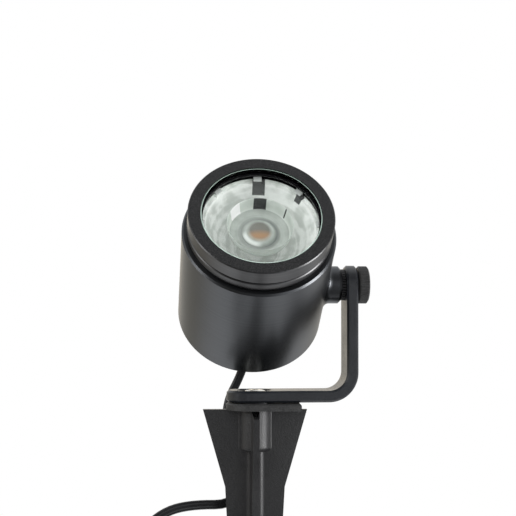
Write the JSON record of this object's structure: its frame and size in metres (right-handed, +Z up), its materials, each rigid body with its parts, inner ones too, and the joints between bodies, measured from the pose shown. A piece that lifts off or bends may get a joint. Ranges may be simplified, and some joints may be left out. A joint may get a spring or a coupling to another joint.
{
  "type": "garden spike spotlight",
  "caption": "Turned cylindrical spotlight head with a glass front on a tilting L-bracket, clamped by a knob, on a finned ground spike, with a low-voltage lead and plug.",
  "frame": {"origin": "on the spike's own axis at soil level, the plane of the tops of its fins", "axes": "+Z up along the spike, +X along the bracket's foot towards its arm, -Y the side the lamp shines to"},
  "size_m": [0.1516, 0.1037, 0.2898],
  "materials": {
    "housing_finish": "satin dark grey powder coat, finely turned",
    "ring_finish": "satin black-grey coat with fine grain",
    "bracket_finish": "satin black-grey coat",
    "spike_plastic": "grained moulded glass-filled nylon",
    "plate_plastic": "grained moulded nylon",
    "knob_finish": "satin black, fluted rim",
    "steel": "stainless steel",
    "black_steel": "black-oxide steel",
    "black_rubber": "glossy black silicone rubber",
    "brass": "plain turned brass",
    "glass": "clear tempered glass with a faint green edge",
    "clear_optic": "clear moulded optic",
    "holder_plastic": "pale translucent plastic",
    "bare_aluminium": "bare turned aluminium",
    "led_board": "white solder mask",
    "phosphor": "orange phosphor under clear silicone",
    "circuit_board": "green solder mask",
    "component_black": "black moulded components",
    "gland_plastic": "black nylon",
    "cord_sheath": "semi-matt black rubber sheath",
    "tie_strap": "black woven strap",
    "plug_plastic": "moulded black rubber",
    "pin_metal": "nickel-plated pins"
  },
  "bodies": {
    "spike": {"ground_spike": "spike_plastic", "spike_insert": "brass", "base_plate": "plate_plastic", "slip_washer": "black_rubber", "foot_screw": "steel", "screw_washer": "black_steel", "cord_lower": "cord_sheath", "cord_coil": "cord_sheath", "cord_tie": "tie_strap", "plug_body": "plug_plastic", "plug_pins": "pin_metal"},
    "bracket": {"bracket": "bracket_finish", "lock_washer": "black_steel", "knob_washer": "black_steel", "cord_middle": "cord_sheath"},
    "head": {"housing": "housing_finish", "housing_seal": "black_rubber", "collar_ring": "ring_finish", "optic": "clear_optic", "optic_holder": "holder_plastic", "heat_spreader": "bare_aluminium", "led_board": "led_board", "led_chip": "phosphor", "board_screws": "steel", "spreader_screws": "steel", "board_posts": "bare_aluminium", "driver_board": "circuit_board", "driver_components": "component_black", "gland_body": "gland_plastic", "gland_cap": "gland_plastic", "gland_sleeve": "black_rubber", "cord_inside": "cord_sheath", "cord_upper": "cord_sheath"},
    "front_ring": {"front_ring": "ring_finish", "front_glass": "glass", "glass_gasket": "black_rubber"},
    "knob": {"clamp_knob": "knob_finish", "knob_stud": "steel"}
  },
  "joints": [
    {"name": "bracket_swivel", "type": "hinge", "parent": "spike", "child": "bracket", "pos_m": [0, 0, 0.00315], "axis": [0, 0, 1], "range_deg": [-90, 90], "deforming": ["cord_middle"]},
    {"name": "head_tilt", "type": "hinge", "parent": "bracket", "child": "head", "pos_m": [0, 0, 0.0508], "axis": [-1, 0, 0], "range_deg": [-60, 55], "deforming": ["cord_upper"]},
    {"name": "front_ring_turn", "type": "hinge", "parent": "head", "child": "front_ring", "pos_m": [-0.001, 0, 0.0508], "axis": [0, -0.8192, 0.5736], "range_deg": [0, 45]},
    {"name": "knob_turn", "type": "hinge", "parent": "bracket", "child": "knob", "pos_m": [0.0415, 0, 0.0508], "axis": [1, 0, 0], "range_deg": [0, 360]}
  ]
}
